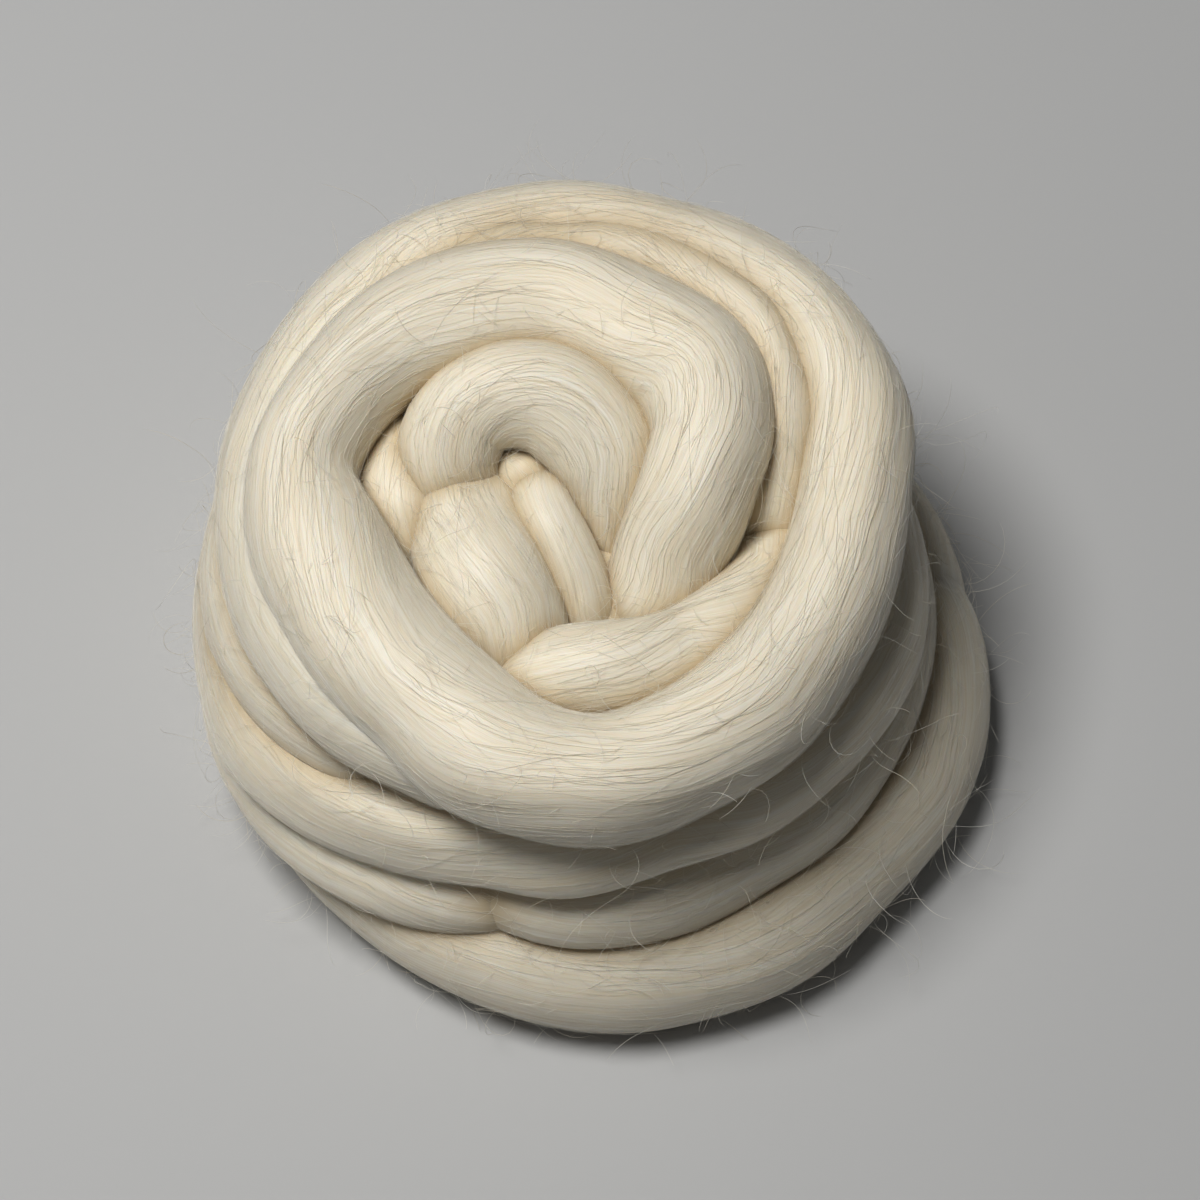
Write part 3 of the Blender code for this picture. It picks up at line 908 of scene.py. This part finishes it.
@dataclass
class PackedMiddle:
    """Wool packed behind the turns, seen only at the bottom of the folds."""

    finish: WoolFinish
    radius: float = 54.0
    height: float = 55.0
    shoulder: float = 0.55
    shade: float = 0.2

    def build(self) -> bpy.types.Object:
        """Shape a cylinder into a low dome that fills the mound.

        Returns:
            The piece.
        """
        bpy.ops.object.select_all(action="DESELECT")
        bpy.ops.mesh.primitive_cylinder_add(vertices=64, radius=self.radius * MM, depth=self.height * MM,
                                            location=(0, 0, (self.height / 2 + 0.4) * MM))
        piece = bpy.context.object
        piece.name = "packed_middle"
        bpy.ops.object.transform_apply(location=True, rotation=True, scale=True)
        bpy.ops.object.mode_set(mode="EDIT")
        bpy.ops.mesh.select_all(action="DESELECT")
        bpy.ops.object.mode_set(mode="OBJECT")
        for vert in piece.data.vertices:
            vert.select = vert.co.z > self.height * MM * 0.9
        bpy.ops.object.mode_set(mode="EDIT")
        bpy.ops.transform.resize(value=(self.shoulder, self.shoulder, 1.0))
        bpy.ops.mesh.select_all(action="SELECT")
        bpy.ops.mesh.quads_convert_to_tris()
        bpy.ops.mesh.subdivide(number_cuts=2)
        bpy.ops.mesh.quads_convert_to_tris()
        bpy.ops.object.mode_set(mode="OBJECT")
        bpy.ops.object.shade_smooth()
        piece.data.materials.append(self.finish.hairs())
        store_value(piece, Attribute.SHADE, np.full(len(piece.data.vertices), self.shade))
        return piece


@dataclass
class FibreCover:
    """Combed fibres that lie along the skin of every stretch."""

    winding: Winding
    finish: WoolFinish
    thickness: float = 0.065
    chord: float = 4.2
    points: int = 8
    stray: float = 0.12
    crimp: float = 0.1

    def paths(self, strand: Strand, tree: BVHTree) -> np.ndarray:
        """Routes of the fibres of one stretch that would show.

        Args:
            strand: The stretch that they lie on.
            tree: The other stretches, which hide some of them.

        Returns:
            Places along the fibres, shaped hairs, points, 3.
        """
        rng = np.random.default_rng(strand.seed + 900)
        count = strand.fibres
        points = self.points
        chord = min(self.chord, strand.girth * 0.5)
        step = (rng.uniform(0.55, 1.25, count) * chord)[:, None]
        start = rng.uniform(-0.08, 0.98, count)[:, None] * strand.length
        angle = rng.uniform(-math.pi, math.pi, count)[:, None]
        astray = rng.uniform(0, 1, count) < self.stray
        heading = np.where(astray, rng.normal(0, 0.35, count), rng.normal(0, 0.05, count))[:, None]
        veer = np.where(astray, rng.normal(0, 0.6, count), rng.normal(0, 0.05, count))[:, None]
        t = np.linspace(0, 1, points)[None, :]
        phase = rng.uniform(0, 2 * math.pi, count)[:, None]
        waves = rng.uniform(0.8, 2.2, count)[:, None]
        crimp = rng.normal(0, self.crimp, count)[:, None] * np.cos(phase + 2 * math.pi * waves * t)
        way = heading + veer * (t - 0.5) + crimp
        run = start + np.cumsum(np.cos(way) * step, axis=1)
        around = angle + np.cumsum(np.sin(way) * step, axis=1) / strand.girth
        ends = np.abs(2 * t - 1) ** 2.5
        loose = np.where(astray, rng.exponential(0.7, count), rng.exponential(0.3, count))[:, None]
        lift = rng.uniform(-0.04, 0.2, count)[:, None] + ends * loose
        route = strand.surface(run, strand.turn_of(run, around), lift)
        middle = route[:, points // 2] * MM
        gap = np.array([outside_distance(tree, place) for place in middle])
        return route[gap > -0.3]

    def build(self) -> list[bpy.types.Object]:
        """Lay the fibres of every stretch and join them, one piece a stretch.

        Returns:
            The pieces.
        """
        finish = self.finish.hairs()
        made = []
        for strand, tree in zip(self.winding.strands, self.winding.trees):
            route = self.paths(strand, tree)
            rng = np.random.default_rng(strand.seed + 1300)
            radius = self.thickness / 2 * rng.uniform(0.6, 1.3, len(route))
            fibres = hair_tubes(f"{strand.name}_fibres", route, radius, rng.uniform(0, 1, len(route)))
            fibres.data.materials.append(finish)
            made.append(fibres)
            log.info("%s: %d fibres, %d triangles", fibres.name, len(route), len(fibres.data.polygons))
        return made


@dataclass
class LooseHairs:
    """Single hairs that stand off the mound and curl."""

    winding: Winding
    finish: WoolFinish
    name: str = "loose_hairs"
    seed: int = 77
    count: int = 3300
    points: int = 12
    clear: tuple[float, float] = (0.8, 1000.0)   # how far the root's neighbours may be
    rise: tuple[float, float] = (0.1, 0.7)       # how steeply a hair leaves the skin
    typical: float = 10.0                        # length, in millimetres
    longest: float = 30.0
    loop: tuple[float, float] = (2.5, 12.0)      # radius of its curl
    spread: float = 0.7                          # how far it strays from the fibres' way
    thickness: float = 0.08
    shortest: float = 2.5
    wander: float = 0.2                          # how much the curl's axis turns at each step
    proud: float = 9.0                           # how far past the solid wool it may reach
    tries: float = 12.0                          # places tried for each hair wanted
    spare: float = 1.6                           # places kept for each hair wanted

    def roots(self, rng: np.random.Generator) -> tuple[np.ndarray, np.ndarray]:
        """Choose where the hairs start and which way they leave the skin.

        Args:
            rng: The source of random numbers.

        Returns:
            Places and directions, one row of three for each hair.
        """
        strands = self.winding.strands
        share = np.array([strand.length * strand.girth for strand in strands])
        starts, ways = [], []
        for strand, others, part in zip(strands, self.winding.trees, share / share.sum()):
            tries = int(self.count * part * self.tries) + 8
            run = rng.uniform(0.03, 0.97, tries) * strand.length
            turn = rng.uniform(0, 2 * math.pi, tries)
            root, above = strand.surface(run, turn, 0.05), strand.surface(run, turn, 1.2)
            ahead = unit(strand.surface(run + 1.0, turn, 0.05) - root)
            gap = np.array([outside_distance(others, place) for place in above * MM])
            good = np.flatnonzero((gap > self.clear[0]) & (gap < self.clear[1]) & (above[:, 2] > 2.0))
            good = good[:int(self.count * part * self.spare) + 1]
            outward = unit(above - root)[good]
            across = np.cross(outward, ahead[good])
            heading = (rng.normal(0, self.spread, (len(good), 1))
                       + math.pi * rng.integers(0, 2, (len(good), 1)))
            level = ahead[good] * np.cos(heading) + across * np.sin(heading)
            starts.append(root[good])
            ways.append(unit(outward * rng.uniform(*self.rise, (len(good), 1)) + level))
        start, way = np.concatenate(starts), np.concatenate(ways)
        kept = rng.permutation(len(start))[:self.count]
        return start[kept], way[kept]

    def build(self, box: tuple) -> bpy.types.Object:
        """Grow the hairs from places all over the mound.

        Args:
            box: Lowest and highest corner of the solid wool.

        Returns:
            The piece.
        """
        rng = np.random.default_rng(self.seed)
        start, way = self.roots(rng)
        hairs = len(start)
        length = rng.gamma(2.0, self.typical / 2, hairs).clip(self.shortest, self.longest)
        step = (length / (self.points - 1))[:, None]
        axis = unit(rng.normal(0, 1, (hairs, 3)))
        turn = step / rng.uniform(*self.loop, (hairs, 1))
        place, route = start, [start]
        for _ in range(self.points - 1):
            axis = unit(axis + rng.normal(0, self.wander, (hairs, 3)))
            way = unit(way + np.cross(axis, way) * turn)
            place = place + way * step
            route.append(place)
        reach = np.stack(route, axis=1) - start[:, None]
        low, high = np.array(box[0]) / MM - self.proud, np.array(box[1]) / MM + self.proud
        low[2] = FLOOR_GAP + 0.1
        room = np.where(reach > 0, high - start[:, None], start[:, None] - low)
        share = np.min(room / np.maximum(np.abs(reach), 1e-6), axis=(1, 2)).clip(0.0, 1.0)
        route = start[:, None] + reach * share[:, None, None]
        radius = self.thickness / 2 * rng.uniform(0.6, 1.2, hairs)
        piece = hair_tubes(self.name, route, radius, rng.uniform(0.0, 1, hairs))
        piece.data.materials.append(self.finish.hairs())
        log.info("%s: %d hairs, %d triangles", self.name, hairs, len(piece.data.polygons))
        return piece


class Lamp(NamedTuple):
    """A round soft light: its name, place, size in metres and energy in watts."""

    name: str
    place: tuple[float, float, float]
    size: float
    energy: float
    colour: tuple[float, float, float]


@dataclass
class Studio:
    """Pale floor, soft key light and the camera."""

    lamps: tuple[Lamp, ...] = (
        Lamp("key_light", (-0.34, 0.03, 1.14), 0.5, 12.0, (1.0, 0.985, 0.96)),
        Lamp("fill_light", (-0.55, -0.55, 0.80), 0.8, 0.3, (1.0, 1.0, 1.0)),
    )
    lit: tuple[float, float, float] = (0.0, 0.0, 0.05)
    sky_colour: tuple[float, float, float] = (0.93, 0.96, 1.0)
    sky_strength: float = 0.08
    floor_colour: tuple[float, float, float] = (0.56, 0.565, 0.57)
    floor_roughness: float = 0.9
    floor_size: float = 6.0
    gamma: float = 0.8
    elevation: float = 63.0
    aim: tuple[float, float, float] = (0.0008, 0.0, 0.040)
    distance: float = 0.811
    lens: float = 124.56
    sensor: float = 36.0

    def floor(self) -> bpy.types.Object:
        """Lay a plain pale floor under the mound."""
        bpy.ops.object.select_all(action="DESELECT")
        bpy.ops.mesh.primitive_plane_add(size=self.floor_size, location=(0, 0, 0))
        floor = bpy.context.object
        floor.name = "floor"
        material = bpy.data.materials.new("pale_floor")
        material.use_nodes = True
        shader = material.node_tree.nodes["Principled BSDF"]
        shader.inputs["Base Color"].default_value = (*self.floor_colour, 1.0)
        shader.inputs["Roughness"].default_value = self.floor_roughness
        floor.data.materials.append(material)
        floor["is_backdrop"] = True
        return floor

    def light(self) -> None:
        """Set a soft key light high on the left, a weak fill and a dim even sky."""
        for lamp in self.lamps:
            bpy.ops.object.light_add(type="AREA", location=lamp.place)
            light = bpy.context.object
            light.name = lamp.name
            light.data.shape = "DISK"
            light.data.size = lamp.size
            light.data.energy = lamp.energy
            light.data.color = lamp.colour
            towards = Vector(self.lit) - light.location
            light.rotation_euler = towards.to_track_quat("-Z", "Y").to_euler()
        world = bpy.data.worlds.new("studio")
        bpy.context.scene.world = world
        world.use_nodes = True
        sky = world.node_tree.nodes["Background"]
        sky.inputs["Color"].default_value = (*self.sky_colour, 1.0)
        sky.inputs["Strength"].default_value = self.sky_strength

    def camera(self) -> None:
        """Look down at the mound from the front."""
        tilt = math.radians(self.elevation)
        away = Vector((0.0, -math.cos(tilt), math.sin(tilt))) * self.distance
        bpy.ops.object.camera_add(location=Vector(self.aim) + away, rotation=(math.pi / 2 - tilt, 0.0, 0.0))
        camera = bpy.context.object
        camera.data.lens = self.lens
        camera.data.sensor_width = self.sensor
        camera.data.clip_start = 0.01
        bpy.context.scene.camera = camera

    def view(self) -> None:
        """Show plain colours, a little lifted in the shadows."""
        settings = bpy.context.scene.view_settings
        settings.view_transform = "Standard"
        settings.exposure = 0.0
        settings.gamma = self.gamma


def main() -> None:
    """Build the roving round the frame, light it and look at it."""
    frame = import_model()
    log.info("frame: %s", ", ".join(frame["nodes"]))
    cad_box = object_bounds()
    studio = Studio()
    studio.camera()
    studio.floor()
    studio.light()
    studio.view()
    finish = WoolFinish()
    middle = PackedMiddle(finish).build()
    winding = Winding(finish)
    winding.build()
    # paint warm shade into the creases between stretches
    winding.paint_fold_shade(middle)
    pieces = [middle, *winding.pieces, *FibreCover(winding, finish).build()]
    pieces.append(LooseHairs(winding, finish).build(cad_box))
    short = LooseHairs(winding, finish, name="crease_hairs", seed=78, count=5000, points=8,
                       clear=(0.1, 3.0), rise=(0.2, 0.9), typical=6.5, longest=16.0,
                       loop=(2.0, 8.0), spread=0.6, thickness=0.06)
    pieces.append(short.build(cad_box))
    for piece in pieces:
        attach(piece, BODY)
    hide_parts(NODE)
    log.info("%d triangles in all", sum(len(piece.data.polygons) for piece in pieces))


if __name__ == "__main__":
    logging.basicConfig(level=logging.INFO, format="%(name)s: %(message)s")
    main()
